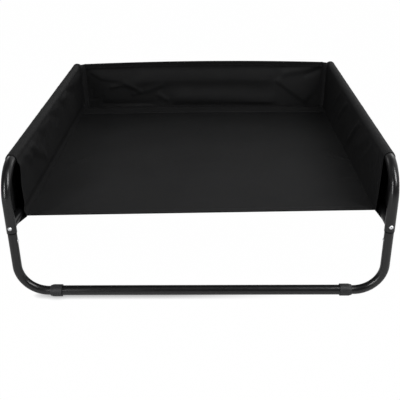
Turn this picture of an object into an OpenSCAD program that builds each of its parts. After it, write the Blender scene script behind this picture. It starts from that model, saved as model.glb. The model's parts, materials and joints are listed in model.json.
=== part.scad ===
// Raised dog cot: a knock-down steel tube frame that carries a sewn cloth cover.
// Two bent side rails stand on four bent corner legs, and two crossbars join the
// legs at the floor. The cover has a floor, a back wall and two double side walls,
// each a loop round a top rail and a side bar. The front is open.
// Millimetres, +Z up, the front faces -Y. The origin is on the floor below the middle.

/* [Frame] */
// Distance between the left and right leg axes
frame_w = 806; // [600:1:1000]
// Distance between the front and rear leg axes
frame_d = 902; // [600:1:1100]
// Height of the top rails' axis above the floor
rail_h = 303; // [285:1:420]
// Height of the side bars' axis above the floor
bar_h = 175; // [140:1:190]

/* [Main tube] */
// Outer diameter of the side rails and crossbars
tube_od = 22; // [20:0.5:25]
// Wall of the side rails and crossbars
tube_wall = 0.8; // [0.6:0.1:1.2]
// Bend radius of the side rails, at the tube's axis
rail_bend_r = 72; // [60:1:90]
// Length of each side rail's leg below the side bar's axis
rail_leg_drop = 14; // [10:1:22]

/* [Corner legs] */
// Wall of the corner legs
leg_wall = 1.2; // [0.8:0.1:1.6]
// Bend radius of the corner legs, at the tube's axis
leg_bend_r = 64; // [50:1:75]
// Straight tube between a corner leg's bend and the crossbar's end
leg_run = 15; // [14:1:40]
// Length of a corner leg inside the crossbar
leg_insert = 55; // [30:1:80]
// Length of a corner leg inside the side rail, above the side bar's axis
leg_reach = 26; // [15:1:40]

/* [Side bars] */
// Outer diameter of the side bars
bar_od = 19; // [16:0.5:20]
// Wall of the side bars
bar_wall = 1; // [0.8:0.1:1.5]
// Length of the threaded plug in each end of a side bar
plug_l = 24; // [18:1:40]

/* [Foot collars] */
// Outer diameter of a foot collar
collar_od = 27; // [26:0.5:34]
// Length of a collar over the crossbar
collar_grip = 15; // [10:1:30]
// Length of a collar past the crossbar's end, at full diameter
collar_lip = 4.5; // [3:0.5:8]
// Length of the tapered neck towards the corner leg's bend
collar_taper = 6.5; // [3:0.5:9]
// Wall at the thin end of the tapered neck
collar_neck_wall = 1.5; // [1:0.1:2]
// Depth of the flat that stands on the floor
foot_flat = 0.6; // [0.3:0.1:1.2]

/* [Screws and rivets] */
// Thread diameter of the frame screws
screw_d = 5; // [4:0.5:6]
// Diameter of a screw's pan head
screw_head_d = 9.5; // [8:0.5:12]
// Height of a screw's pan head
screw_head_h = 3.4; // [2.5:0.1:4]
// Screw end showing past its nut
screw_tail = 1.5; // [0.5:0.5:4]
// Width of a nut across its flats
nut_flats = 8; // [7:0.5:10]
// Height of a nut
nut_h = 4.7; // [3:0.1:6]
// Distance from the side rail's lower end down to the leg rivet
rivet_drop = 21; // [8:1:28]
// Diameter of a leg rivet's shank
rivet_d = 4; // [3:0.5:5]
// Diameter of a leg rivet's head
rivet_head_d = 7; // [6:0.5:9]
// Height of a leg rivet's head
rivet_head_h = 2; // [1:0.1:2.5]
// Length of a leg rivet's shank
rivet_l = 5; // [3:0.5:8]

/* [Cover] */
// Thickness of the cloth
cloth_t = 1.2; // [0.8:0.1:2]
// Distance of the side walls' front and rear edges in from the legs' axes
sleeve_in = 60; // [50:1:80]
// Distance of the floor's front edge behind the side walls' front edges
floor_in = 7; // [0:0.5:15]
// Distance from the side bar's axis in to the floor seam
seam_in = 16; // [14:1:40]
// Height of the side bar's axis above the floor cloth
floor_drop = 6; // [0:0.5:8]
// Radius inside the folded floor seam
seam_r = 0.8; // [0.5:0.1:2]
// Height of the back wall's top edge above the rail's axis
back_rise = 10; // [0:0.5:14]
// Outward bow of the back wall at its middle
back_bow = 10; // [4:1:30]
// Distance of the back wall's ends in from the sleeves' rear ends
back_inset = 7; // [2:0.5:14]
// Distance of the back wall's ends in from the floor's side edges
corner_in = 9; // [6:0.5:14]
// Angle that the corner strips turn forward from the back wall
corner_turn = 45; // [30:1:60]
// Width of the sewn strip on the floor along the back wall
strip_w = 67; // [30:1:90]
// Width of the folded hems at the front edge and the back wall's top
hem_w = 20; // [10:1:30]

/* [Fits] */
// Gap round a corner leg in the tube or collar that takes it
tube_fit = 0.2; // [0.1:0.05:0.3]
// Gap round a plug, nut, screw or rivet in its hole
part_fit = 0.1; // [0.05:0.05:0.2]
// Gap between a side rail's leg and the coped end of a side bar
cope_fit = 0.2; // [0.1:0.05:0.4]
// Gap between the cloth and the tubes, and between layers of cloth
cloth_fit = 0.3; // [0.2:0.05:0.5]

/* [Hidden] */
$fn = 64;

steel_black = "#2b2b2e";
plastic_black = "#1d1d1f";
zinc_silver = "#c9ccd0";
cloth_dark = "#26282b";
cloth_edge = "#1c1d20";

// Overrun of a cutting shape past the face that it cuts
cut = 1;
leg_x = frame_w / 2;
leg_y = frame_d / 2;
tube_r = tube_od / 2;
tube_id = tube_od - 2 * tube_wall;
leg_od = tube_id - 2 * tube_fit;
leg_id = leg_od - 2 * leg_wall;
crossbar_h = collar_od / 2 - foot_flat;
crossbar_end = leg_x - leg_bend_r - leg_run;
rail_foot = bar_h - rail_leg_drop;
rivet_h = rail_foot - rivet_drop;
bar_id = bar_od - 2 * bar_wall;
plug_od = bar_id - 2 * part_fit;
cope_r = tube_r + cope_fit;
plug_end = leg_y - cope_r - plug_l;
nut_face = plug_end + nut_h;
screw_end = plug_end - screw_tail;
screw_hole = screw_d + 2 * part_fit;
recess_l = screw_head_d / 2;
recess_w = screw_head_d / 9;
recess_deep = screw_head_h / 2;

sleeve_end = leg_y - sleeve_in;
bend_y = leg_y - rail_bend_r;
floor_front = sleeve_end - floor_in;
floor_h = bar_h - floor_drop;
seam_x = leg_x - seam_in;
nose_r = seam_r + cloth_t;
panel_x = seam_x - nose_r - cloth_fit;
panel_top = floor_h + cloth_t / 2;
panel_low = floor_h - cloth_t / 2;
wall_x = leg_x - tube_r - 2 * cloth_fit - cloth_t;
back_x = panel_x - corner_in;
back_low = panel_top + cloth_fit;
back_top = rail_h + back_rise;
back_end = sleeve_end - back_inset;
// Radius of the back wall's bow, from its half width and its rise
bow_r = (back_x * back_x + back_bow * back_bow) / (2 * back_bow);
bow_y = back_end + back_bow - bow_r;
// Segments of the bow's whole circle, of which the wall is a short arc
bow_fn = 256;
layer = cloth_t + cloth_fit;
strip_top = back_low + cloth_t;

// Unit normal on the outer side of the line that touches posts p and q, each [x, z, radius]
function outer_normal(p, q) =
    let (step = [q[0] - p[0], q[1] - p[1]], l = norm(step), d = step / l, k = (p[2] - q[2]) / l)
    k * d + sqrt(1 - k * k) * [d[1], -d[0]];

// Point on post p in direction n
function touch(p, n) = [p[0] + p[2] * n[0], p[1] + p[2] * n[1]];

// Children at one corner, from the shape made at the right rear one
module corner(right, rear) {
    if (right && rear) children();
    if (!right && rear) mirror([1, 0, 0]) children();
    if (right && !rear) mirror([0, 1, 0]) children();
    if (!right && !rear) mirror([1, 0, 0]) mirror([0, 1, 0]) children();
}

module four_corners() {
    for (right = [false, true])
        for (rear = [false, true])
            corner(right, rear) children();
}

module side(right) {
    if (right) children();
    if (!right) mirror([1, 0, 0]) children();
}

// Cylinder that lies along Y from y0 to y1
module rod_y(d, y0, y1) {
    translate([0, y1, 0])
        rotate([90, 0, 0])
            cylinder(d = d, h = y1 - y0);
}

// Cylinder that lies along X from x0 to x1
module rod_x(d, x0, x1) {
    translate([x0, 0, 0])
        rotate([0, 90, 0])
            cylinder(d = d, h = x1 - x0);
}

// Quarter turn of a round rod, from +X towards +Y
module quarter_turn(d, r) {
    rotate_extrude(angle = 90)
        translate([r, 0])
            circle(d = d);
}

// Shallow dome on the XY plane
module dome(d, h) {
    ball_r = (d * d / 4 + h * h) / (2 * h);
    intersection() {
        translate([0, 0, h - ball_r])
            sphere(r = ball_r);
        cylinder(d = d, h = h);
    }
}

// Rod along a side rail's path: rear leg, rear bend, top and the same towards the front
module rail_rod(d, past) {
    for (rear = [0, 1])
        mirror([0, rear, 0]) {
            translate([0, -leg_y, rail_foot - past])
                cylinder(d = d, h = rail_h - rail_bend_r - rail_foot + past);
            translate([0, -bend_y, rail_h - rail_bend_r])
                rotate([90, 0, -90])
                    quarter_turn(d, rail_bend_r);
        }
    translate([0, 0, rail_h])
        rod_y(d, -bend_y, bend_y);
}

// Inverted U of tube, with a screw hole through each leg
module side_rail(right) {
    color(steel_black)
        side(right)
            translate([leg_x, 0, 0])
                difference() {
                    rail_rod(tube_od, 0);
                    rail_rod(tube_id, cut);
                    translate([0, 0, bar_h])
                        rod_y(screw_hole, -leg_y - tube_od, leg_y + tube_od);
                }
}

// Straight tube at floor height, coped at both ends to sit against the rail's legs
module side_bar(right) {
    color(steel_black)
        side(right)
            translate([leg_x, 0, bar_h])
                difference() {
                    rod_y(bar_od, -leg_y, leg_y);
                    rod_y(bar_id, -leg_y - cut, leg_y + cut);
                    for (end = [-leg_y, leg_y])
                        translate([0, end, -bar_od])
                            cylinder(r = cope_r, h = 2 * bar_od);
                }
}

// Rod along a corner leg's path: down the leg, round the bend and into the crossbar
module leg_rod(d, past) {
    bend_x = leg_x - leg_bend_r;
    bend_h = crossbar_h + leg_bend_r;
    translate([leg_x, leg_y, bend_h])
        cylinder(d = d, h = bar_h + leg_reach - bend_h + past);
    translate([bend_x, leg_y, bend_h])
        rotate([-90, 0, 0])
            quarter_turn(d, leg_bend_r);
    translate([0, leg_y, crossbar_h])
        rod_x(d, crossbar_end - leg_insert - past, bend_x);
}

// Bent tube that plugs into a side rail above and a crossbar below
module corner_leg(right, rear) {
    color(steel_black)
        corner(right, rear)
            difference() {
                leg_rod(leg_od, 0);
                leg_rod(leg_id, cut);
                translate([leg_x, 0, bar_h])
                    rod_y(screw_hole, leg_y - leg_od, leg_y + leg_od);
                translate([0, leg_y, rivet_h])
                    rod_x(rivet_d + 2 * part_fit, leg_x - leg_od, leg_x);
            }
}

// Straight tube on the floor between two corner legs
module crossbar(rear) {
    color(steel_black)
        translate([0, rear ? leg_y : -leg_y, crossbar_h])
            difference() {
                rod_x(tube_od, -crossbar_end, crossbar_end);
                rod_x(tube_id, -crossbar_end - cut, crossbar_end + cut);
            }
}

// Ferrule on the crossbar's end: stepped bore, tapered neck, flat that stands on the floor
module foot_collar(right, rear) {
    inner_x = crossbar_end - collar_grip;
    step_x = crossbar_end + part_fit;
    neck_x = crossbar_end + collar_lip;
    neck_od = leg_od + 2 * tube_fit + 2 * collar_neck_wall;
    color(plastic_black)
        corner(right, rear)
            translate([0, leg_y, crossbar_h])
                difference() {
                    union() {
                        rod_x(collar_od, inner_x, neck_x);
                        translate([neck_x, 0, 0])
                            rotate([0, 90, 0])
                                cylinder(d1 = collar_od, d2 = neck_od, h = collar_taper);
                    }
                    rod_x(tube_od + 2 * part_fit, inner_x - cut, step_x);
                    rod_x(leg_od + 2 * tube_fit, inner_x, neck_x + collar_taper + cut);
                    translate([inner_x - cut, -collar_od, -crossbar_h - collar_od])
                        cube([collar_grip + collar_lip + collar_taper + 2 * cut, 2 * collar_od, collar_od]);
                }
}

// Plastic plug in the side bar's end, with a hexagonal pocket for the nut
module bar_plug(right, rear) {
    color(plastic_black)
        corner(right, rear)
            translate([leg_x, 0, bar_h])
                difference() {
                    rod_y(plug_od, plug_end, leg_y);
                    translate([0, leg_y, -bar_od])
                        cylinder(r = cope_r, h = 2 * bar_od);
                    rod_y(screw_hole, plug_end - cut, leg_y);
                    nut_shape(part_fit, plug_end - cut, nut_face + part_fit);
                }
}

// Hexagonal prism along Y, grown by a gap
module nut_shape(gap, y0, y1) {
    rotate([0, 30, 0])
        rod_hex((nut_flats + 2 * gap) / cos(30), y0, y1);
}

module rod_hex(d, y0, y1) {
    translate([0, y1, 0])
        rotate([90, 0, 0])
            cylinder(d = d, h = y1 - y0, $fn = 6);
}

// Nuts held in the plugs
module plug_nuts() {
    color(zinc_silver)
        four_corners()
            translate([leg_x, 0, bar_h])
                difference() {
                    nut_shape(0, plug_end, nut_face);
                    rod_y(screw_hole, plug_end - cut, nut_face + cut);
                }
}

// Pan-head screws through rail and leg into the side bars
module frame_screws() {
    head_y = leg_y + tube_r;
    color(zinc_silver)
        four_corners()
            translate([leg_x, 0, bar_h])
                difference() {
                    union() {
                        rod_y(screw_d, screw_end, head_y);
                        translate([0, head_y, 0])
                            rotate([-90, 0, 0])
                                dome(screw_head_d, screw_head_h);
                    }
                    translate([0, head_y + screw_head_h, 0])
                        cross_recess();
                }
}

module cross_recess() {
    for (turn = [0, 90])
        rotate([0, turn, 0])
            translate([-recess_l / 2, -recess_deep, -recess_w / 2])
                cube([recess_l, recess_deep + cut, recess_w]);
}

// Domed rivets on the inner side of the corner legs
module leg_rivets() {
    head_x = leg_x - leg_od / 2;
    color(zinc_silver)
        four_corners()
            translate([0, leg_y, rivet_h]) {
                rod_x(rivet_d, head_x, head_x + rivet_l);
                translate([head_x, 0, 0])
                    rotate([0, -90, 0])
                        dome(rivet_head_d, rivet_head_h);
            }
}

// Outline of a loop of cloth round the rail, the side bar and the floor seam, grown by gap
module loop_outline(gap) {
    posts = [
        [-leg_x, rail_h, tube_r + cloth_fit + gap],
        [-leg_x, bar_h, bar_od / 2 + cloth_fit + gap],
        [-seam_x, floor_h, seam_r + gap]
    ];
    for (p = posts)
        translate([p[0], p[1]])
            circle(r = p[2]);
    polygon([
        for (i = [0:2])
            let (p = posts[i], q = posts[(i + 1) % 3], n = outer_normal(p, q))
                each [touch(p, n), touch(q, n)]
    ]);
}

// Double side wall: one loop of cloth that reaches a little way over the rail's bends
module side_wall(right) {
    color(cloth_dark)
        side(!right)
            translate([0, sleeve_end, 0])
                rotate([90, 0, 0])
                    linear_extrude(height = 2 * sleeve_end)
                        difference() {
                            loop_outline(cloth_t);
                            loop_outline(0);
                        }
}

// Cloth between the two floor seams, its rear edge bowed as the back wall is
module floor_panel() {
    color(cloth_dark)
        translate([0, 0, panel_low])
            linear_extrude(height = cloth_t)
                intersection() {
                    translate([-panel_x, -floor_front])
                        square([2 * panel_x, 3 * floor_front]);
                    translate([0, bow_y])
                        circle(r = bow_r, $fn = bow_fn);
                }
}

// Band that follows the back wall's bow, set in or out by shift, of depth deep, from z0 to z1
module bow_band(shift, deep, z0, z1) {
    translate([0, bow_y, z0])
        linear_extrude(height = z1 - z0)
            difference() {
                circle(r = bow_r + shift, $fn = bow_fn);
                circle(r = bow_r + shift - deep, $fn = bow_fn);
            }
}

// Block behind the middle of the cot, of half width half, from z0 to z1
module rear_block(half, z0, z1) {
    translate([-half, 0, z0])
        cube([2 * half, 2 * leg_y, z1 - z0]);
}

module back_wall() {
    color(cloth_dark)
        intersection() {
            bow_band(0, cloth_t, back_low, back_top);
            rear_block(back_x, back_low, back_top);
        }
}

// Folded strip behind the back wall's top edge
module back_top_hem() {
    color(cloth_edge)
        intersection() {
            bow_band(layer, cloth_t, back_top - hem_w, back_top);
            rear_block(back_x, back_top - hem_w, back_top);
        }
}

// Sewn strip on the floor along the foot of the back wall
module back_floor_strip() {
    color(cloth_edge)
        intersection() {
            bow_band(-layer, strip_w, back_low, strip_top);
            rear_block(panel_x, back_low, strip_top);
        }
}

// Sewn strip up a rear corner, from the back wall's end out to the leaning side wall
module back_corner_strip(right) {
    strip_low = strip_top + cloth_fit;
    lean = (wall_x - panel_x) / (rail_h - floor_h);
    low_x = panel_x + lean * (strip_low - floor_h);
    run = 2 * (wall_x - back_x) / cos(corner_turn);
    color(cloth_edge)
        side(right)
            intersection() {
                translate([back_x, back_end - layer, strip_low])
                    rotate(-corner_turn)
                        translate([0, -cloth_t, 0])
                            cube([run, cloth_t, back_top - strip_low]);
                translate([0, 2 * leg_y, 0])
                    rotate([90, 0, 0])
                        linear_extrude(height = 2 * leg_y)
                            polygon([
                                [0, strip_low], [low_x, strip_low],
                                [wall_x, rail_h], [wall_x, back_top], [0, back_top]
                            ]);
            }
}

// Folded strip under the floor's front edge
module front_hem() {
    color(cloth_edge)
        translate([-panel_x, -floor_front, panel_low - layer])
            cube([2 * panel_x, hem_w, cloth_t]);
}

side_rail(false);  // side_rail_left
side_rail(true);  // side_rail_right
side_bar(false);  // side_bar_left
side_bar(true);  // side_bar_right
corner_leg(false, false);  // corner_leg_front_left
corner_leg(true, false);  // corner_leg_front_right
corner_leg(false, true);  // corner_leg_rear_left
corner_leg(true, true);  // corner_leg_rear_right
crossbar(false);  // crossbar_front
crossbar(true);  // crossbar_rear
foot_collar(false, false);  // foot_collar_front_left
foot_collar(true, false);  // foot_collar_front_right
foot_collar(false, true);  // foot_collar_rear_left
foot_collar(true, true);  // foot_collar_rear_right
bar_plug(false, false);  // bar_plug_front_left
bar_plug(true, false);  // bar_plug_front_right
bar_plug(false, true);  // bar_plug_rear_left
bar_plug(true, true);  // bar_plug_rear_right
plug_nuts();
frame_screws();
leg_rivets();
floor_panel();
side_wall(false);  // side_wall_left
side_wall(true);  // side_wall_right
back_wall();
front_hem();
back_top_hem();
back_floor_strip();
back_corner_strip(false);  // back_corner_strip_left
back_corner_strip(true);  // back_corner_strip_right
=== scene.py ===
import json
import math

import bpy
from mathutils import Matrix, Vector, noise


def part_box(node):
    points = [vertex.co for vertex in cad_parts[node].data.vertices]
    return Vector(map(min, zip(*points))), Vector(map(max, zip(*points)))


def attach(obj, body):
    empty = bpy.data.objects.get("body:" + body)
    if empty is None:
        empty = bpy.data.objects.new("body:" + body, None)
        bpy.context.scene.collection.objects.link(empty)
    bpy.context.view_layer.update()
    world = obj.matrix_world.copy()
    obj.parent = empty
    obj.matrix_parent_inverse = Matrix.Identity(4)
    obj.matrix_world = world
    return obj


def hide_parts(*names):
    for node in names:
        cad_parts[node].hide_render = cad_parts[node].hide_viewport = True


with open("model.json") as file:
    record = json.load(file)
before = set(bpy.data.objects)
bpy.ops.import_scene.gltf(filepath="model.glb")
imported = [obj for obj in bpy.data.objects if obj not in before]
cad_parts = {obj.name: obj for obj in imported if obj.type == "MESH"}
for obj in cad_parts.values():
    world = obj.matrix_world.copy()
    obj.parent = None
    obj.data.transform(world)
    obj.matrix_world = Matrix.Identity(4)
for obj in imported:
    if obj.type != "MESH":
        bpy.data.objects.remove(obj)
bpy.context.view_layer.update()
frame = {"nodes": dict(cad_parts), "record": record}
scene = bpy.context.scene
scene.view_settings.view_transform = "Standard"
mm = 0.001
body = "root"

# Places and sizes that the frame gives
rail_low, rail_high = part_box("side_rail_right")
bar_low, bar_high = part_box("side_bar_right")
wall_low, wall_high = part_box("side_wall_right")
floor_low, floor_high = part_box("floor_panel")
hem_low, hem_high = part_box("front_hem")
back_low, back_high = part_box("back_wall")
top_hem_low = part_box("back_top_hem")[0]
strip_low, strip_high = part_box("back_floor_strip")
tube_r = (rail_high.x - rail_low.x) / 2
rail_x = rail_high.x - tube_r
rail_z = rail_high.z - tube_r
bar_r = (bar_high.z - bar_low.z) / 2
bar_z = bar_high.z - bar_r
wall_end = wall_high.y
layer_t = floor_high.z - floor_low.z
floor_z = (floor_low.z + floor_high.z) / 2
floor_x = floor_high.x
floor_front = floor_low.y
back_x = back_high.x
back_rise = back_high.y - layer_t - back_low.y
leg_y = rail_high.y - tube_r
rail_bend_r = 72 * mm
bend_start = leg_y - rail_bend_r
sleeve_r = wall_high.z - rail_z - layer_t / 2

# Sizes of the sewing
cloth_t = 0.9 * mm
nose_r = 1.4 * mm
seam_x = wall_low.x + layer_t / 2 + nose_r
floor_reach = seam_x - 0.2 * mm
grid_step = 5 * mm
hem_rows = (5 * mm, 17 * mm)
end_row = 12 * mm
stitch_pitch = 4.2 * mm
stitch_length = 3.2 * mm
stitch_r = 0.32 * mm
up = Vector((0, 0, 1))
ahead = Vector((0, -1, 0))


# Shader maths

class Value:
    """A socket of a node tree, with arithmetic that adds Math nodes."""

    def __init__(self, tree, socket):
        self.tree = tree
        self.socket = socket

    def math(self, operation, *items):
        node = self.tree.nodes.new("ShaderNodeMath")
        node.operation = operation
        for socket, item in zip(node.inputs, items):
            feed(self.tree, socket, item)
        return Value(self.tree, node.outputs[0])

    def __add__(self, other):
        return self.math("ADD", self, other)

    def __radd__(self, other):
        return self.math("ADD", other, self)

    def __sub__(self, other):
        return self.math("SUBTRACT", self, other)

    def __rsub__(self, other):
        return self.math("SUBTRACT", other, self)

    def __mul__(self, other):
        return self.math("MULTIPLY", self, other)

    def __rmul__(self, other):
        return self.math("MULTIPLY", other, self)

    def __gt__(self, other):
        return self.math("GREATER_THAN", self, other)

    def __abs__(self):
        return self.math("ABSOLUTE", self)

    def sine(self):
        return self.math("SINE", self)

    def larger(self, other):
        return self.math("MAXIMUM", self, other)


def feed(tree, socket, item):
    """Link a Value to a socket, or set the socket to a plain number, colour or vector."""
    if isinstance(item, Value):
        tree.links.new(item.socket, socket)
    else:
        socket.default_value = item


class Graph:
    """A node tree, with one method that adds any node to it."""

    def __init__(self, tree):
        self.tree = tree

    def node(self, kind, settings=None, inputs=None, out=0):
        """Any node: its settings are set first, then its sockets' values or links."""
        made = self.tree.nodes.new("ShaderNode" + kind)
        for key, item in (settings or {}).items():
            setattr(made, key, item)
        for key, item in (inputs or {}).items():
            feed(self.tree, made.inputs[key], item)
        return Value(self.tree, made.outputs[out])

    def along(self, axis, where):
        return self.node("SeparateXYZ", None, {0: where}, axis)

    def ramp(self, where, axis, low, high, start, end):
        """Smooth ramp along an axis, from start at low to end at high."""
        place = self.along(axis, where)
        inputs = {"Value": place, "From Min": low, "From Max": high, "To Min": start, "To Max": end}
        return self.node("MapRange", {"interpolation_type": "SMOOTHSTEP"}, inputs)


class Finish(Graph):
    """A material made of nodes round one Principled shader."""

    def __init__(self, name, **constants):
        self.material = bpy.data.materials.new(name)
        self.material.use_nodes = True
        super().__init__(self.material.node_tree)
        self.shader = self.tree.nodes["Principled BSDF"]
        self.surface(**constants)

    def surface(self, **items):
        """Set or link sockets of the shader, each named with _ in place of a space."""
        for key, item in items.items():
            feed(self.tree, self.shader.inputs[key.replace("_", " ")], item)

    def place(self):
        return self.node("TexCoord", out="Object")

    def lengths(self):
        """The two lengths along the cloth that its UV map holds, in metres."""
        uv = self.node("TexCoord", out="UV")
        return self.along("X", uv), self.along("Y", uv)

    def noise(self, where, scale, detail=2.0, roughness=0.5):
        inputs = {"Vector": where, "Scale": scale, "Detail": detail, "Roughness": roughness}
        return self.node("TexNoise", None, inputs, "Fac")

    def mix(self, share, low, high):
        """Colour between low and high. A Mix node's colour sockets go by number."""
        return self.node("Mix", {"data_type": "RGBA"}, {0: share, 6: (*low, 1), 7: (*high, 1)}, 2)

    def bump(self, height, distance, strength):
        inputs = {"Height": height, "Distance": distance, "Strength": strength}
        self.surface(Normal=self.node("Bump", None, inputs, "Normal"))


# Finishes

def cloth_finish(name, dark, light, thread_pitch, gloss):
    """Dark coated polyester: a plain weave with slubs, a dull sheen and soft cloudy tone."""
    finish = Finish(name, Specular_IOR_Level=gloss)
    across, along = finish.lengths()
    warp = (across * (math.pi / thread_pitch)).sine()
    weft = (along * (math.pi / thread_pitch)).sine()
    warp_over = warp * weft > 0
    yarn = warp_over * abs(warp) + (1 - warp_over) * abs(weft)
    where = finish.place()
    cloud = finish.noise(where, scale=7.0, detail=3.0)
    mottle = finish.noise(where, scale=160.0, detail=3.0, roughness=0.6)
    slub = finish.noise(where, scale=900.0, detail=1.0)
    tone = cloud * 0.45 + mottle * 0.35 + slub * 0.2
    finish.surface(Base_Color=finish.mix((tone - 0.25) * 2, dark, light))
    finish.surface(Roughness=0.48 + 0.16 * mottle + 0.08 * yarn)
    finish.bump(yarn + 0.5 * slub + 0.6 * mottle, distance=0.14 * mm, strength=0.5)
    return finish.material


def powder_coat_finish(dark, light):
    """Black gloss powder coat: faint orange peel, a little haze, and a painted shade line at the
    rails' lower ends: a dark metallic ring in place of the shadow in the joint."""
    finish = Finish("powder_coat_black", Specular_IOR_Level=0.5)
    where = finish.place()
    peel = finish.noise(where, scale=620.0, detail=1.0)
    haze = finish.noise(where, scale=14.0, detail=4.0, roughness=0.6)
    speck = finish.noise(where, scale=2400.0, detail=1.0)
    finish.surface(Base_Color=finish.mix(haze * 0.7 + speck * 0.3, dark, light))
    finish.surface(Roughness=0.22 + 0.1 * haze + 0.03 * speck)
    # Painted shade: a ring of dark metal at the rail's lower end stands in for the shadow in the
    # joint gap.
    shade_line_half_width = 1.5 * mm
    from_rail_end = abs(finish.along("Z", where) - rail_low.z)
    finish.surface(Metallic=shade_line_half_width - from_rail_end > 0)
    finish.bump(peel, distance=0.06 * mm, strength=0.1)
    return finish.material


def plastic_finish(name, dark, light):
    """Moulded black plastic: a fine eroded grain with a satin gleam."""
    finish = Finish(name, Specular_IOR_Level=0.4)
    where = finish.place()
    grain = finish.noise(where, scale=1500.0, detail=2.0, roughness=0.6)
    scuff = finish.noise(where, scale=60.0, detail=4.0, roughness=0.65)
    finish.surface(Base_Color=finish.mix(scuff, dark, light))
    finish.surface(Roughness=0.42 + 0.2 * scuff)
    finish.bump(grain, distance=0.05 * mm, strength=0.4)
    return finish.material


def zinc_finish(dark, light):
    """Bright zinc plate: pale metal with a fine grain and a slightly uneven gleam."""
    finish = Finish("zinc_plate_bright", Metallic=1.0)
    where = finish.place()
    spangle = finish.noise(where, scale=420.0, detail=3.0, roughness=0.6)
    fine = finish.noise(where, scale=2600.0, detail=1.0)
    finish.surface(Base_Color=finish.mix(spangle, dark, light))
    finish.surface(Roughness=0.2 + 0.18 * spangle + 0.06 * fine)
    finish.bump(fine, distance=0.02 * mm, strength=0.3)
    return finish.material


def thread_finish(dark, light):
    """Twisted black sewing thread."""
    finish = Finish("sewing_thread", Specular_IOR_Level=0.3)
    twist = finish.noise(finish.place(), scale=3000.0, detail=1.0)
    finish.surface(Base_Color=finish.mix(twist, dark, light))
    finish.surface(Roughness=0.5 + 0.2 * twist)
    finish.bump(twist, distance=0.05 * mm, strength=0.5)
    return finish.material


cover_cloth = cloth_finish(
    "cover_cloth_weave",
    dark=(0.0056, 0.0057, 0.0059),
    light=(0.0112, 0.0113, 0.0116),
    thread_pitch=0.75 * mm,
    gloss=0.135,
)
hem_cloth = cloth_finish(
    "hem_cloth_weave",
    dark=(0.0036, 0.0037, 0.0038),
    light=(0.0072, 0.0073, 0.0075),
    thread_pitch=0.65 * mm,
    gloss=0.07,
)
strip_cloth = cloth_finish(
    "strip_cloth_weave",
    dark=(0.0072, 0.0073, 0.0075),
    light=(0.0144, 0.0145, 0.0148),
    thread_pitch=0.65 * mm,
    gloss=0.16,
)
powder_coat = powder_coat_finish(
    dark=(0.003, 0.003, 0.0032),
    light=(0.007, 0.007, 0.0074),
)
collar_plastic = plastic_finish(
    "collar_plastic_satin",
    dark=(0.012, 0.012, 0.013),
    light=(0.022, 0.022, 0.023),
)
plug_plastic = plastic_finish(
    "plug_plastic_black",
    dark=(0.014, 0.014, 0.015),
    light=(0.024, 0.024, 0.025),
)
zinc_plate = zinc_finish(
    dark=(0.70, 0.71, 0.73),
    light=(0.84, 0.85, 0.86),
)
thread = thread_finish(
    dark=(0.014, 0.014, 0.015),
    light=(0.034, 0.034, 0.036),
)


def paint_frame():
    """Give each piece of the frame its finish, by the slot that the record names."""
    finishes = {
        "powder_coat": powder_coat,
        "collar_plastic": collar_plastic,
        "plug_plastic": plug_plastic,
        "zinc_plate": zinc_plate,
        "cover_cloth": cover_cloth,
        "hem_cloth": hem_cloth,
    }
    for part in frame["record"]["subparts"]:
        mesh = frame["nodes"][part["node"]].data
        mesh.materials.clear()
        mesh.materials.append(finishes[part["material_slot"]])


# Making pieces

def pick(obj):
    """Select one object alone and make it the active one."""
    bpy.ops.object.select_all(action="DESELECT")
    obj.select_set(True)
    bpy.context.view_layer.objects.active = obj


def apply_modifier(obj, kind, **settings):
    pick(obj)
    modifier = obj.modifiers.new(kind.lower(), kind)
    for key, item in settings.items():
        setattr(modifier, key, item)
    bpy.ops.object.modifier_apply(modifier=modifier.name)


def finish_piece(obj, material, slot, *nodes):
    """Set a piece's finish, and let it ride on the cot in place of the nodes it stands for."""
    obj.data.materials.clear()
    obj.data.materials.append(material)
    pick(obj)
    bpy.ops.object.shade_smooth_by_angle(angle=math.radians(40))
    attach(obj, body)
    if nodes:
        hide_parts(*nodes)
    return obj


def sided(name, side):
    """Name of a node on the left, where side is -1, or on the right."""
    return name + ("_right" if side > 0 else "_left")


def clamp(x):
    return min(1.0, max(0.0, x))


def smooth(low, high, x):
    """0 below low, 1 above high, and an even rise between."""
    t = clamp((x - low) / (high - low))
    return t * t * (3 - 2 * t)


def held(share, start, end):
    """0 at both ends of a run from 0 to 1, rising to 1 within start and end of them."""
    return smooth(0, start, share) * smooth(0, end, 1 - share)


def bell(distance, width):
    """1 at no distance, and nearly 0 at twice the width."""
    return math.exp(-(distance / width) ** 2)


def steps(low, high, step):
    """Even stops from low to high, at most step apart."""
    rounding = 1e-9
    count = max(1, math.ceil((high - low) / step - rounding))
    return [low + (high - low) * i / count for i in range(count + 1)]


def stops_with_rows(low, high, step, rows, reach=3 * mm, fine=0.75 * mm):
    """Even stops that grow fine near the sewn rows."""
    closest = 0.05 * mm
    stops = steps(low, high, step)
    for row in rows:
        stops = [s for s in stops if abs(s - row) > reach]
        stops += [s for s in steps(row - reach, row + reach, fine) if low < s < high]
    stops = sorted(set(stops) | {low, high})
    return [s for i, s in enumerate(stops) if i == 0 or s - stops[i - 1] > closest]


def new_piece(name, points, faces):
    mesh = bpy.data.meshes.new(name)
    mesh.from_pydata(points, [], faces)
    obj = bpy.data.objects.new(name, mesh)
    scene.collection.objects.link(obj)
    return obj


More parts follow.
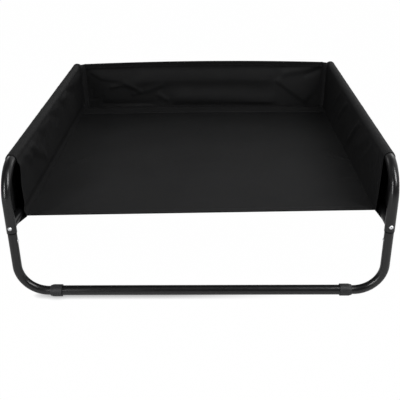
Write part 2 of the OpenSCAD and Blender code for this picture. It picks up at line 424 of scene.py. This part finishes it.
def sheet_mesh(name, columns, rows, place, closed=False):
    """Cloth as a grid of quads, its UV map in metres along the cloth, given its thickness."""
    points = [[place(c, r) for c in columns] for r in rows]
    width = len(columns)
    middle = points[len(rows) // 2]
    across = [0.0]
    for a, b in zip(middle, middle[1:] + middle[:1]):
        across.append(across[-1] + (b - a).length)
    along = [0.0]
    for low, high in zip(points, points[1:]):
        along.append(along[-1] + (high[width // 2] - low[width // 2]).length)
    faces = []
    lengths = []
    for j in range(len(rows) - 1):
        here, beyond = j * width, (j + 1) * width
        for i in range(width if closed else width - 1):
            n = (i + 1) % width
            faces.append((here + i, here + n, beyond + n, beyond + i))
            for side, end in ((i, j), (i + 1, j), (i + 1, j + 1), (i, j + 1)):
                lengths += [across[side], along[end]]
    obj = new_piece(name, [p for row in points for p in row], faces)
    obj.data.uv_layers.new(name="UVMap").data.foreach_set("uv", lengths)
    apply_modifier(obj, "SOLIDIFY", thickness=cloth_t, offset=0)
    return obj


# Stitches

def stitch_model():
    """One stitch along X: a bead of thread that dives into the cloth at both ends."""
    bpy.ops.object.select_all(action="DESELECT")
    lying = (0, math.pi / 2, 0)
    bpy.ops.mesh.primitive_cylinder_add(
        vertices=6, radius=stitch_r, depth=stitch_length, rotation=lying
    )
    bpy.ops.object.transform_apply(location=False, rotation=True, scale=False)
    obj = bpy.context.object
    bpy.ops.object.mode_set(mode="EDIT")
    for place in (-0.3 * stitch_length, 0.3 * stitch_length):
        bpy.ops.mesh.select_all(action="SELECT")
        bpy.ops.mesh.bisect(plane_co=(place, 0, 0), plane_no=(1, 0, 0))
    bpy.ops.object.mode_set(mode="OBJECT")
    for side in (-1, 1):
        for vertex in obj.data.vertices:
            vertex.select = side * vertex.co.x > 0.45 * stitch_length
        for edge in obj.data.edges:
            edge.select = all(obj.data.vertices[v].select for v in edge.vertices)
        for face in obj.data.polygons:
            face.select = all(obj.data.vertices[v].select for v in face.vertices)
        bpy.ops.object.mode_set(mode="EDIT")
        bpy.ops.transform.resize(value=(1, 0.5, 0.5))
        bpy.ops.transform.translate(value=(0, 0, -1.3 * stitch_r))
        bpy.ops.object.mode_set(mode="OBJECT")
    points = [v.co.copy() for v in obj.data.vertices]
    faces = [tuple(p.vertices) for p in obj.data.polygons]
    bpy.data.objects.remove(obj)
    return points, faces


stitch_points, stitch_faces = stitch_model()


def stitch_rows(name, rows):
    """Copies of the stitch along rows of (place on the cloth, outward direction), as one piece."""
    points = []
    faces = []
    for row in rows:
        to_go = 0.5 * stitch_pitch
        for (a, out_a), (b, out_b) in zip(row, row[1:]):
            length = (b - a).length
            while to_go < length:
                along = (b - a).normalized()
                across = out_a.lerp(out_b, to_go / length).cross(along).normalized()
                turn = Matrix((along, across, along.cross(across))).transposed()
                centre = a.lerp(b, to_go / length)
                first = len(points)
                points += [centre + turn @ p for p in stitch_points]
                faces += [tuple(first + v for v in face) for face in stitch_faces]
                to_go += stitch_pitch
            to_go -= length
    return finish_piece(new_piece(name, points, faces), thread, "hem_cloth")


def row_on(places, out):
    """A row for stitches, on the side of the cloth that faces out."""
    return [(place + out * cloth_t / 2, out) for place in places]


# Folds of the cloth

def fold_relief(folds, a, b):
    """Height at (a, b) of a panel, from ridges, or grooves below 0, along lines of points in mm.
    A fold is (height, width above its line, width below it, points)."""
    a = a / mm
    b = b / mm
    left_at_ends = 0.15
    total = 0.0
    for height, above, below, line in folds:
        near, upper, share = nearest(line, a, b)
        width = above if upper else below
        if near < 3 * width:
            fade = left_at_ends + (1 - left_at_ends) * held(share, 0.12, 0.12)
            past_ends = 1 if 0 < share < 1 else left_at_ends
            total += height * bell(near, width) * fade * past_ends
    return total * mm


def nearest(line, a, b):
    """Distance of (a, b) to a line of points, whether it lies above it, and how far along."""
    lengths = [math.dist(p, q) for p, q in zip(line, line[1:])]
    best = (math.inf, True, 0.0)
    gone = 0.0
    for p, q, length in zip(line, line[1:], lengths):
        da, db = (q[0] - p[0]) / length, (q[1] - p[1]) / length
        t = (a - p[0]) * da + (b - p[1]) * db
        t = min(length, max(0.0, t))
        far = math.hypot(a - p[0] - t * da, b - p[1] - t * db)
        if far < best[0]:
            cross = da * (b - p[1]) - db * (a - p[0])
            best = (far, cross * (1 if da >= 0 else -1) > 0, (gone + t) / sum(lengths))
        gone += length
    return best


def ripple(a, b, seed, wave):
    """Soft unevenness of stretched cloth, from -1 to 1."""
    return noise.noise(Vector((a / wave, b / wave, seed)))


def row_dip(distance, depth=0.35 * mm, width=1.4 * mm):
    """Dip that a row of stitches pulls into the cloth."""
    return depth * bell(distance, width)


# Folds of the back wall, in (x, z)
back_folds = [
    (5.0, 34, 18, [(-248, 256), (-59, 260), (120, 261), (249, 257)]),
    (6.0, 28, 18, [(-119, 197), (60, 195), (150, 190), (249, 184)]),
    (2.9, 24, 7, [(-369, 297), (-327, 268), (-259, 256), (-199, 226)]),
    (2.6, 9, 7, [(-310, 235), (-253, 246), (-218, 229), (-194, 220)]),
    (2.2, 9, 7, [(-194, 220), (-157, 234), (-124, 245)]),
    (2.0, 8, 6, [(-234, 212), (-194, 222)]),
    (2.6, 9, 7, [(-153, 214), (-115, 188)]),
    (-1.6, 3, 3, [(-369, 239), (-371, 203)]),
    (-1.4, 3, 3, [(-358, 237), (-361, 205)]),
    (-1.5, 3, 3, [(-373, 200), (-338, 200)]),
    (-1.2, 3, 3, [(-328, 210), (-330, 181)]),
    (-4.0, 14, 9, [(-340, 173), (-288, 172), (-238, 172), (-150, 170)]),
    (4.2, 36, 8, [(231, 261), (296, 212), (336, 180)]),
    (3.2, 11, 11, [(390, 306), (324, 290), (239, 277)]),
    (-2.6, 9, 9, [(382, 298), (346, 280), (319, 271)]),
]
# Folds of the side walls' inner faces, in (y, z)
right_folds = [
    (1.8, 9, 6, [(95, 306), (150, 268), (200, 216)]),
    (2.6, 10, 6, [(-8, 306), (53, 266), (128, 206)]),
    (3.0, 9, 6, [(-158, 306), (-106, 260), (-34, 196)]),
    (1.4, 7, 6, [(-125, 280), (-78, 234), (-44, 203)]),
    (1.8, 16, 12, [(-254, 305), (-212, 269), (-108, 205)]),
    (1.4, 9, 7, [(-292, 303), (-259, 264), (-197, 209)]),
    (1.8, 9, 8, [(-340, 303), (-328, 275), (-323, 230)]),
    (1.6, 8, 8, [(-377, 298), (-368, 261), (-367, 215)]),
]
left_folds = [
    (3.6, 11, 11, [(-290, 303), (-232, 261), (-151, 212)]),
    (2.6, 9, 9, [(-222, 275), (-168, 232)]),
    (2.6, 10, 10, [(-340, 303), (-280, 258)]),
    (-3.6, 16, 16, [(137, 303), (247, 262)]),
    (-3.6, 16, 16, [(-80, 303), (11, 262)]),
    (-3.6, 16, 16, [(-205, 303), (-140, 261)]),
    (-2.4, 13, 13, [(30, 303), (90, 268)]),
]
# Folds of the floor, in (x, y)
floor_folds = [
    (1.6, 9, 7, [(328, -34), (357, -62), (381, -99)]),
    (1.2, 7, 7, [(353, -209), (384, -227)]),
    (1.0, 9, 9, [(-339, -92), (-305, -44)]),
]


# Sewn cover: the side walls

def loop_path():
    """Points of a taut loop of cloth, clockwise from the front: up the inner face, over the rail,
    down the outer face, round the side bar and back to the floor seam.
    Each is (x, z, outward x, outward z, face, share of the way along the face)."""
    bar_wrap_r = bar_z - wall_low.z - layer_t / 2
    posts = [
        (seam_x, floor_z, nose_r, 6),
        (rail_x, rail_z, sleeve_r, 22),
        (rail_x, bar_z, bar_wrap_r, 22),
    ]
    following = posts[1:] + posts[:1]
    arcs = ("nose", "rail", "bar")
    faces = ("inner", "outer", "under")
    normals = []
    for (x, z, r, _), (next_x, next_z, next_r, _) in zip(posts, following):
        way = Vector((next_x - x, next_z - z))
        lean = (r - next_r) / way.length
        way.normalize()
        normals.append(lean * way + math.sqrt(1 - lean * lean) * Vector((-way.y, way.x)))
    path = []
    for i, (x, z, r, arc_stops) in enumerate(posts):
        before, after = normals[i - 1], normals[i]
        start = math.atan2(before.y, before.x)
        turn = (start - math.atan2(after.y, after.x)) % (2 * math.pi)
        for k in range(arc_stops + 1):
            angle = start - turn * k / arc_stops
            n = Vector((math.cos(angle), math.sin(angle)))
            path.append((x + r * n.x, z + r * n.y, n.x, n.y, arcs[i], 0.0))
        next_x, next_z, next_r, _ = following[i]
        low = Vector((x + r * after.x, z + r * after.y))
        high = Vector((next_x + next_r * after.x, next_z + next_r * after.y))
        run = steps(0, (high - low).length, grid_step)
        for s in run[1:-1]:
            point = low.lerp(high, s / run[-1])
            path.append((*point, *after, faces[i], s / run[-1]))
    return path


loop = loop_path()
loop_length = sum(math.dist(p[:2], q[:2]) for p, q in zip(loop, loop[1:] + loop[:1]))

# Faces of the loop that come before and after each arc
faces_beside = {
    "nose": ("under", "inner"),
    "rail": ("inner", "outer"),
    "bar": ("outer", "under"),
}


def carried(arc, face, share):
    """How far a point of the loop moves with an arc: 1 on it, less along the faces beside it."""
    before, after = faces_beside[arc]
    return {arc: 1.0, before: share, after: 1 - share}.get(face, 0.0)


def inner_x(z):
    """How far out the cover's inner side lies at height z: on the wall's face, then the sleeve."""
    inner = [point[:2] for point in loop if point[4] == "inner"]
    (low_x, low_z), (high_x, high_z) = inner[0], inner[-1]
    if z < high_z:
        return low_x + (high_x - low_x) * (z - low_z) / (high_z - low_z)
    return rail_x - math.sqrt(max(0.0, sleeve_r ** 2 - (z - rail_z) ** 2))


def seam_lift(y):
    """How far the right floor seam rides up towards the front."""
    front_lift = 10 * mm
    return front_lift * clamp((back_low.y - y) / (back_low.y - floor_front))


def rail_drop(y):
    """How far the rail has bent down at y, and how much taller its slanted section is."""
    past = max(0.0, abs(y) - bend_start)
    level = math.sqrt(rail_bend_r ** 2 - past ** 2)
    return rail_bend_r - level, rail_bend_r / level


def inner_relief(share, side, folds, y, z):
    """Slack below the rail, folds, and a groove along the left wall's foot."""
    slack = 0.5 * mm if side > 0 else 2.6 * mm
    slack *= 1 + 0.9 * ripple(y, 0, seed=5 + side, wave=0.07)
    relief = slack * smooth(0.62, 0.9, share) * smooth(0, 0.1, 1 - share)
    relief += fold_relief(folds, y, z) * held(share, 0.12, 0.12)
    if side < 0:
        groove_depth = 3.4 * mm
        groove_share = 0.11
        relief -= groove_depth * bell(share - groove_share, 0.07)
    billow = 2.2 * mm * ripple(y, z + 0.6 * y, seed=3 + side, wave=0.09)
    return relief + billow * held(share, 0.3, 0.3)


def wall_relief(face, share, side, folds, y, z):
    """How far a side wall's cloth stands off its taut loop."""
    fine = 0.25 * mm * ripple(y, z, seed=15 + side, wave=0.03) * smooth(0, 0.1, share)
    if face == "inner":
        return inner_relief(share, side, folds, y, z) + fine
    if face == "outer":
        billow = 2.6 * mm * ripple(y, z + 0.5 * y, seed=9 + side, wave=0.11)
        return fine + billow * held(share, 0.3, 0.3)
    if face == "rail":
        pucker = ripple(y + 0.4 * z, z, seed=17 + side, wave=0.018)
        pucker += 0.7 * ripple(y, z, seed=19 + side, wave=0.045)
        return 0.55 * mm * max(0.0, pucker)
    return 0.0


def side_wall(name, side, folds):
    """Double side wall: one loop of cloth round rail and side bar, hemmed at both ends.
    The ends lean in towards the top and reach on towards the legs at the side bar."""
    top_lean = 4 * mm
    foot_reach = 33 * mm
    lean_length = 60 * mm
    hem_t = 0.4 * mm
    end_rows = (end_row - wall_end, wall_end - end_row)
    stops = stops_with_rows(-wall_end, wall_end, grid_step, end_rows)

    def settle(point, y, proud=0.0):
        """A place on the wall's cloth, and its outward direction."""
        x, z, out_x, out_z, face, share = point
        to_row = wall_end - end_row - abs(y)
        relief = wall_relief(face, share, side, folds, y, z) + proud
        relief += hem_t * smooth(0, 1.5 * mm, -to_row) - row_dip(to_row)
        drop, stretch = rail_drop(y)
        on_rail = carried("rail", face, share)
        height = z - on_rail * drop + out_z * (relief + on_rail * (stretch - 1) * sleeve_r)
        if side > 0:
            height += seam_lift(y) * carried("nose", face, share)
        rise = (z - wall_low.z) / (wall_high.z - wall_low.z)
        uneven = 1 + 0.2 * ripple(x, z, seed=25, wave=0.008)
        lean = top_lean * rise - foot_reach * carried("bar", face, share) * uneven
        edge = lean * smooth(wall_end - lean_length, wall_end, abs(y)) * math.copysign(1, y)
        place = Vector((side * (x + out_x * relief), y - edge, height))
        return place, Vector((side * out_x, 0, out_z))

    wall = sheet_mesh(name, loop, stops, lambda point, y: settle(point, y)[0], closed=True)
    finish_piece(wall, cover_cloth, "cover_cloth", sided("side_wall", side))
    rows = []
    for y in end_rows:
        ring = [settle(point, y, cloth_t / 2) for point in loop]
        rows.append(ring + ring[:1])
    threads = stitch_rows(name.replace("cloth", "stitches"), rows)


# Sewn cover: the floor

def back_bow(x):
    """Depth of the back wall's middle layer at x, on its outward bow."""
    return back_high.y - layer_t / 2 - back_rise * (x / back_x) ** 2


def floor_height(x, y):
    """Height of the floor cloth: it sags a little, and its stitched rows dip."""
    sag = 1.0 * mm
    sag_x = 1 - (x / floor_reach) ** 2
    sag_y = math.sin(math.pi * clamp((y - floor_front) / (back_low.y - floor_front))) ** 0.8
    height = floor_z - sag * sag_x * sag_y + seam_lift(y) * (0.5 + 0.5 * x / floor_reach)
    edge = smooth(0, 60 * mm, floor_x - abs(x)) * smooth(0, 50 * mm, y - floor_front)
    uneven = 0.9 * mm * ripple(x, y, seed=21, wave=0.16)
    uneven += 0.35 * mm * ripple(x, y, seed=22, wave=0.05)
    height += edge * uneven
    height += fold_relief(floor_folds, x, y)
    for row in hem_rows:
        height -= row_dip(y - floor_front - row)
    return height


def floor_sheet():
    """Floor of the cover, stretched between the side seams, its front edge straight."""
    rows = [floor_front + row for row in hem_rows]
    columns = steps(-floor_reach, floor_reach, grid_step)
    stops = stops_with_rows(floor_front, back_low.y, grid_step, rows)

    def place(x, y):
        share = (y - floor_front) / (back_low.y - floor_front)
        rear = share * share * (back_bow(x) + layer_t / 2 - back_low.y)
        return Vector((x, y + rear, floor_height(x, y)))

    sheet = sheet_mesh("floor_cloth", columns, stops, place)
    finish_piece(sheet, cover_cloth, "cover_cloth", "floor_panel")
    across = steps(-floor_x, floor_x, grid_step)
    lines = [row_on([place(x, row) for x in across], up) for row in rows]
    threads = stitch_rows("front_hem_stitches", lines)


def front_hem():
    """Hem that turns down and back under the floor's front edge."""
    fold_r = (floor_z - (hem_low.z + hem_high.z) / 2) / 2
    fold_stops = 10
    under_step = 2 * mm
    nose = floor_front - 0.2 * mm
    turn = [("nose", math.pi / 2 - math.pi * i / fold_stops) for i in range(fold_stops + 1)]
    under = [("under", y) for y in steps(nose + under_step, hem_high.y, under_step)]

    def place(x, stop):
        kind, value = stop
        height = floor_height(x, floor_front)
        if kind == "nose":
            z = height - fold_r + fold_r * math.sin(value)
            return Vector((x, nose - fold_r * math.cos(value), z))
        wave = 0.3 * mm * ripple(x, value, seed=31, wave=0.03)
        return Vector((x, value, height - 2 * fold_r + wave))

    columns = steps(-floor_reach, floor_reach, grid_step)
    hem = sheet_mesh("front_hem_fold", columns, turn + under, place)
    finish_piece(hem, hem_cloth, "hem_cloth", "front_hem")


# Sewn cover: the back wall

def back_top(x):
    """Height of the back wall's top edge, which bows up in the middle."""
    top_bow = 4 * mm
    return back_high.z + top_bow * (1 - (x / back_x) ** 2)


def back_depth(x, z):
    """Depth of the back wall's cloth: bowed out, bulging forward at half height, with its folds."""
    middle_bulge = 2.5 * mm
    top_bulge = 3.5 * mm
    share = (z - back_low.z) / (back_high.z - back_low.z)
    from_end = back_x - abs(x)
    bulge = middle_bulge * math.sin(math.pi * clamp(share)) * smooth(0, 60 * mm, from_end)
    bulge += top_bulge * smooth(0.84, 1.0, share)
    relief = fold_relief(back_folds, x, z)
    relief += 1.3 * mm * ripple(x, z, seed=41, wave=0.1)
    relief += 0.4 * mm * ripple(x, z, seed=42, wave=0.035)
    return back_bow(x) - bulge - held(share, 0.1, 0.08) * smooth(0, 12 * mm, from_end) * relief


def back_wall():
    """Back wall of the cover, from the floor to its bound top edge."""
    columns = steps(-back_x, back_x, 3.5 * mm)
    shares = steps(0, 1, 1 / 48)
    foot = floor_z - 1.3 * mm

    def place(x, share):
        z = foot + share * (back_top(x) - cloth_t - foot)
        return Vector((x, back_depth(x, z), z))

    wall = sheet_mesh("back_wall_cloth", columns, shares, place)
    finish_piece(wall, cover_cloth, "cover_cloth", "back_wall")


def back_binding():
    """Binding folded over the back wall's top edge, deeper behind than in front."""
    front_drop = 14 * mm
    row_drop = 0.75 * front_drop
    rear_drop = back_high.z - top_hem_low.z
    fold_r = 1.5 * mm
    front = [("front", -front_drop * (1 - i / 4)) for i in range(4)]
    over = [("over", math.pi * i / 10) for i in range(11)]
    behind = [("rear", -rear_drop * i / 10) for i in range(1, 11)]

    def place(x, stop):
        kind, value = stop
        top = back_top(x)
        depth = back_depth(x, top)
        if kind == "front":
            return Vector((x, min(depth, back_depth(x, top + value)) - fold_r, top + value))
        if kind == "over":
            return Vector((x, depth - fold_r * math.cos(value), top + fold_r * math.sin(value)))
        return Vector((x, max(depth, back_depth(x, top + value)) + fold_r, top + value))

    columns = steps(-back_x, back_x, grid_step)
    hem = sheet_mesh("back_top_binding", columns, front + over + behind, place)
    finish_piece(hem, hem_cloth, "hem_cloth", "back_top_hem")
    row = row_on([place(x, ("front", -row_drop)) for x in columns], ahead)
    threads = stitch_rows("back_binding_stitches", [row])


def floor_strip():
    """Sewn strip on the floor along the foot of the back wall, which it meets in a crease."""
    width = strip_high.y - strip_low.y - back_rise
    lift = strip_high.z - floor_z - layer_t / 2
    crest = 4.2 * mm
    sink = 0.6 * mm
    row_share = 0.07
    shares = stops_with_rows(0, 1, 1 / 24, (row_share,), reach=0.05, fine=0.0125)

    def place(x, share):
        y = back_bow(x) - 0.3 * mm - width * (1 - share)
        z = floor_height(x, min(y, back_low.y)) + lift
        z += crest * held(share, 0.6, 0.38) - sink
        z += 0.3 * mm * ripple(x, y, seed=51, wave=0.06) - row_dip((share - row_share) * width)
        return Vector((x, y, z))

    columns = steps(-floor_reach, floor_reach, grid_step)
    strip = sheet_mesh("back_floor_band", columns, shares, place)
    finish_piece(strip, strip_cloth, "hem_cloth", "back_floor_strip")
    row = row_on([place(x, row_share) for x in steps(-back_x, back_x, grid_step)], up)
    threads = stitch_rows("back_floor_stitches", [row])


def corner_strip(name, side):
    """Sewn strip up a rear corner, from behind the back wall's end into the side wall."""
    foot = floor_z - 0.5 * mm
    near_top = back_high.z + 1.5 * mm
    far_top = rail_z + sleeve_r - 0.7 * mm
    near = Vector((back_x - 1.5 * mm, back_low.y + layer_t + 0.5 * mm))
    depth = 15 * mm
    fullness = 3.2 * mm
    row_share = 0.2
    slant = 0.7
    shares = steps(0, 1, 1 / 16)
    heights = steps(0, 1, 1 / 36)

    def place(share, height):
        z = foot + height * (near_top + (far_top - near_top) * share - foot)
        far = Vector((inner_x(z) + 1.5 * mm, near.y - depth))
        flat = near.lerp(far, share)
        puff = fullness * math.sin(math.pi * share) ** 0.8
        puff += 0.8 * mm * ripple(share * 0.02, z, seed=61 + side, wave=0.03)
        puff *= held(share, 0.12, 0.12)
        return Vector((side * (flat.x - slant * puff), flat.y - slant * puff, z))

    strip = sheet_mesh(name, shares, heights, place)
    finish_piece(strip, cover_cloth, "hem_cloth", sided("back_corner_strip", side))
    inward = Vector((-side * slant, -slant, 0))
    row = row_on([place(row_share, height) for height in heights[1:-1]], inward)
    threads = stitch_rows(name.replace("band", "stitches"), [row])


paint_frame()
side_wall("side_wall_cloth_left", -1, left_folds)
side_wall("side_wall_cloth_right", 1, right_folds)
floor_sheet()
front_hem()
back_wall()
back_binding()
floor_strip()
corner_strip("back_corner_band_left", -1)
corner_strip("back_corner_band_right", 1)


# Camera, floor and light

def place_camera():
    """Camera at the photograph's viewing angle, for an image of 400 by 400 pixels."""
    image_px = 400
    focal_px = 658.0
    sensor = 36.0
    place = (0.029, -1.685, 0.836)
    pitch, yaw, roll = (math.radians(a) for a in (25.92, -1.26, 0.84))
    view = Vector((
        math.sin(yaw) * math.cos(pitch),
        math.cos(yaw) * math.cos(pitch),
        -math.sin(pitch),
    ))
    right = Vector((math.cos(yaw), -math.sin(yaw), 0))
    down = view.cross(right)
    rolled_right = right * math.cos(roll) + down * math.sin(roll)
    rolled_down = down * math.cos(roll) - right * math.sin(roll)
    lens = bpy.data.cameras.new("camera")
    lens.sensor_width = sensor
    lens.lens = focal_px / image_px * sensor
    camera = bpy.data.objects.new("camera", lens)
    camera.matrix_world = Matrix((rolled_right, -rolled_down, -view)).transposed().to_4x4()
    camera.location = place
    scene.collection.objects.link(camera)
    scene.camera = camera


def seen_or_reflected(graph, reflected):
    """1 for rays from the camera or through a clear material, which see the white backdrop,
    and as much as reflected says for rays from a gloss."""
    seen = graph.node("LightPath", out="Is Camera Ray")
    glossy = graph.node("LightPath", out="Is Glossy Ray") * reflected
    clear = graph.node("LightPath", out="Is Transmission Ray")
    return seen.larger(glossy).larger(clear)


def sweep_share(graph):
    """How white the studio is in a direction: a white sweep behind the cot, a dim room in front,
    both dimmer on the left."""
    room = 0.06
    sweep_gain = 0.68
    way = graph.node("TexCoord", out="Generated")
    behind = graph.ramp(way, "Y", -0.35, 0.15, 0.0, 1.0)
    below_top = graph.ramp(way, "Z", 0.65, 0.95, 1.0, 0.0)
    from_left = graph.ramp(way, "X", -0.4, 0.25, 0.3, 1.05)
    return (room + sweep_gain * (behind * below_top)) * from_left


def contact_share(graph):
    """How white the studio floor stays close under the cot's feet and crossbars. The shade there
    fades out to the right."""
    reach = 12 * mm
    depth = graph.ramp(graph.node("TexCoord", out="Object"), "X", -0.1, 0.22, 0.62, 0.0)
    openness = graph.node("AmbientOcclusion", {"samples": 8}, {"Distance": reach}, "AO")
    return 1 - (1 - openness) * depth


def light_world():
    """White backdrop, and a low even fill for the light itself."""
    world = bpy.data.worlds.new("studio")
    scene.world = world
    world.use_nodes = True
    graph = Graph(world.node_tree)
    fill = 0.02
    strength = seen_or_reflected(graph, sweep_share(graph)) * (1 - fill) + fill
    background = world.node_tree.nodes["Background"]
    background.inputs["Color"].default_value = (1, 1, 1, 1)
    feed(world.node_tree, background.inputs["Strength"], strength)


def lay_floor():
    """Pale floor that shows white and keeps a faint shadow of the cot."""
    reflected_share = 0.3
    glow_share = 0.995
    bpy.ops.object.select_all(action="DESELECT")
    bpy.ops.mesh.primitive_plane_add(size=30, location=(0, 0, 0))
    floor = bpy.context.object
    floor.name = "studio_floor"
    pale = Finish("studio_floor_white", Base_Color=(0.6, 0.6, 0.6, 1), Roughness=0.9)
    pale.surface(Specular_IOR_Level=0.0)
    glow = pale.node("Emission", None, {"Color": contact_share(pale), "Strength": 1.0})
    lit = Value(pale.tree, pale.shader.outputs[0])
    share = seen_or_reflected(pale, reflected_share) * glow_share
    shown = pale.node("MixShader", None, {0: share, 1: lit, 2: glow})
    feed(pale.tree, pale.tree.nodes["Material Output"].inputs["Surface"], shown)
    floor.data.materials.append(pale.material)


def add_lamp(name, place, target, size, watts, in_gloss=True):
    """Soft lamp at a place, facing a target, which the glosses show or not."""
    lamp = bpy.data.lights.new(name, "AREA")
    lamp.shape = "RECTANGLE"
    lamp.size, lamp.size_y = size
    lamp.energy = watts
    obj = bpy.data.objects.new(name, lamp)
    obj.location = place
    way = Vector(target) - Vector(place)
    obj.rotation_euler = way.to_track_quat("-Z", "Y").to_euler()
    obj.visible_glossy = in_gloss
    scene.collection.objects.link(obj)


def light_cot():
    """Two tall lamps in front, two weak ones above, and two weak ones behind."""
    bed_middle = (0, 0, 0.17)
    left_corner = (-0.4, -0.45, 0.27)
    right_corner = (0.2, -0.4, 0.25)
    front_bed = (0.06, -0.3, 0.17)
    small = (0.45, 0.7)
    add_lamp("left_front_lamp", (-1.36, -2.2, 0.95), left_corner, size=(0.24, 1.4), watts=29)
    add_lamp("right_front_lamp", (1.45, -1.4, 1.8), right_corner, size=(0.55, 1.5), watts=40)
    add_lamp("top_lamp", (0.2, -0.85, 1.9), bed_middle, size=(1.8, 0.4), watts=1.5)
    add_lamp(
        "high_lamp", (0.06, -0.3, 1.15), front_bed, size=(0.6, 0.6), watts=4.3, in_gloss=False
    )
    add_lamp("left_rear_lamp", (-1.5, 1.2, 1.4), bed_middle, size=small, watts=2.6)
    add_lamp("right_rear_lamp", (1.5, 1.2, 1.4), bed_middle, size=small, watts=3.2)


place_camera()
light_world()
lay_floor()
light_cot()
